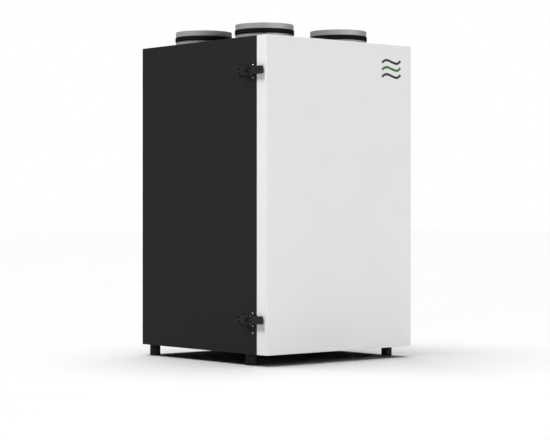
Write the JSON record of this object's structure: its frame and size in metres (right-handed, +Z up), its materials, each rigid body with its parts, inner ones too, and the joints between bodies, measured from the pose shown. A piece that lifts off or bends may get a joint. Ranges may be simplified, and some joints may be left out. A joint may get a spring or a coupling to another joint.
{
  "type": "heat recovery unit",
  "caption": "Upright ventilation unit that recovers heat: insulated steel cabinet with a hinged, latched front door, round duct spigots on top, exchanger, filters and fans inside",
  "frame": {"origin": "on the floor, under the centre of the cabinet", "axes": "+X to the unit's right seen from the front, -Y out of the door, +Z up"},
  "size_m": [0.622, 0.6186, 1.031],
  "materials": {
    "casing_paint": "anthracite fine-texture powder coat",
    "door_paint": "light grey satin powder coat",
    "foam": "moulded bead foam",
    "zinc_sheet": "galvanised sheet",
    "exchanger_plate": "thin formed plates",
    "dark_plastic": "black moulded plastic",
    "strap_web": "woven polyester webbing",
    "filter_card": "moisture resistant board",
    "filter_cloth": "pleated filter fleece",
    "motor_case": "die cast",
    "board": "printed circuit board",
    "spigot_steel": "galvanised steel",
    "rubber_seal": "black rubber",
    "fastener_steel": "zinc plated steel",
    "fastener_black": "black steel screw",
    "latch_black": "black satin coat",
    "badge_print": "plain printed mark",
    "fan_plastic": "glass filled plastic"
  },
  "bodies": {
    "casing": {"base_panel": "casing_paint", "left_side_panel": "casing_paint", "right_side_panel": "casing_paint", "back_panel": "casing_paint", "top_panel": "casing_paint", "insulation_base": "foam", "insulation_top": "foam", "insulation_sides": "foam", "insulation_back": "foam", "bulkhead": "foam", "air_dividers": "foam", "exchanger_cradle": "foam", "fan_deck": "zinc_sheet", "exchanger_core": "exchanger_plate", "exchanger_end_frames": "dark_plastic", "exchanger_strap": "strap_web", "bypass_duct": "zinc_sheet", "bypass_actuator": "dark_plastic", "filter_frames": "filter_card", "filter_media": "filter_cloth", "filter_rails": "zinc_sheet", "fan_inlet_rings": "zinc_sheet", "fan_motors": "motor_case", "fan_brackets": "zinc_sheet", "condensate_tray": "dark_plastic", "condensate_drain": "dark_plastic", "control_box": "zinc_sheet", "control_lid": "zinc_sheet", "control_board": "board", "cable_glands": "dark_plastic", "sensor_probes": "zinc_sheet", "spigot_extract": "spigot_steel", "spigot_supply": "spigot_steel", "spigot_exhaust": "spigot_steel", "spigot_outdoor": "spigot_steel", "spigot_seals": "rubber_seal", "feet": "dark_plastic", "foot_pads": "rubber_seal", "foot_studs": "fastener_steel", "hinge_case_leaves": "latch_black", "hinge_pins": "fastener_steel", "latch_bases": "latch_black", "case_rivets": "fastener_steel", "case_screws": "fastener_black", "back_screws": "fastener_black"},
    "door": {"door_skin": "door_paint", "door_insulation": "foam", "door_liner": "zinc_sheet", "door_gasket": "rubber_seal", "door_keepers": "latch_black", "door_badge": "badge_print", "door_screws": "fastener_black", "hinge_door_leaves": "latch_black"},
    "upper_lever": {"latch_lever_upper": "latch_black"},
    "upper_claw": {"latch_claw_upper": "latch_black"},
    "lower_lever": {"latch_lever_lower": "latch_black"},
    "lower_claw": {"latch_claw_lower": "latch_black"},
    "supply_wheel": {"supply_impeller": "fan_plastic"},
    "exhaust_wheel": {"exhaust_impeller": "fan_plastic"},
    "bypass_damper": {"bypass_flap": "zinc_sheet"}
  },
  "joints": [
    {"name": "door_hinge", "type": "hinge", "parent": "casing", "child": "door", "pos_m": [0.3053, -0.262, 0.5075], "axis": [0, 0, 1], "range_deg": [0, 120]},
    {"name": "upper_latch", "type": "hinge", "parent": "casing", "child": "upper_lever", "pos_m": [-0.3052, -0.241, 0.878], "axis": [0, 0, 1], "range_deg": [0, 100]},
    {"name": "upper_claw_pin", "type": "hinge", "parent": "upper_lever", "child": "upper_claw", "pos_m": [-0.304, -0.228, 0.878], "axis": [0, 0, 1], "range_deg": [-115, 0]},
    {"name": "lower_latch", "type": "hinge", "parent": "casing", "child": "lower_lever", "pos_m": [-0.3052, -0.241, 0.137], "axis": [0, 0, 1], "range_deg": [0, 100]},
    {"name": "lower_claw_pin", "type": "hinge", "parent": "lower_lever", "child": "lower_claw", "pos_m": [-0.304, -0.228, 0.137], "axis": [0, 0, 1], "range_deg": [-115, 0]},
    {"name": "supply_fan_spin", "type": "hinge", "parent": "casing", "child": "supply_wheel", "pos_m": [0.137, -0.098, 0.85], "axis": [0, 0, 1], "continuous": true},
    {"name": "exhaust_fan_spin", "type": "hinge", "parent": "casing", "child": "exhaust_wheel", "pos_m": [-0.135, 0.12, 0.192], "axis": [0, 1, 0], "continuous": true},
    {"name": "bypass_turn", "type": "hinge", "parent": "casing", "child": "bypass_damper", "pos_m": [-0.23, -0.08, 0.6], "axis": [0, 1, 0], "range_deg": [0, 90]}
  ],
  "couplings": [
    {"joint": "upper_claw_pin", "follows": "upper_latch", "ratio": -1.15},
    {"joint": "lower_claw_pin", "follows": "lower_latch", "ratio": -1.15}
  ]
}
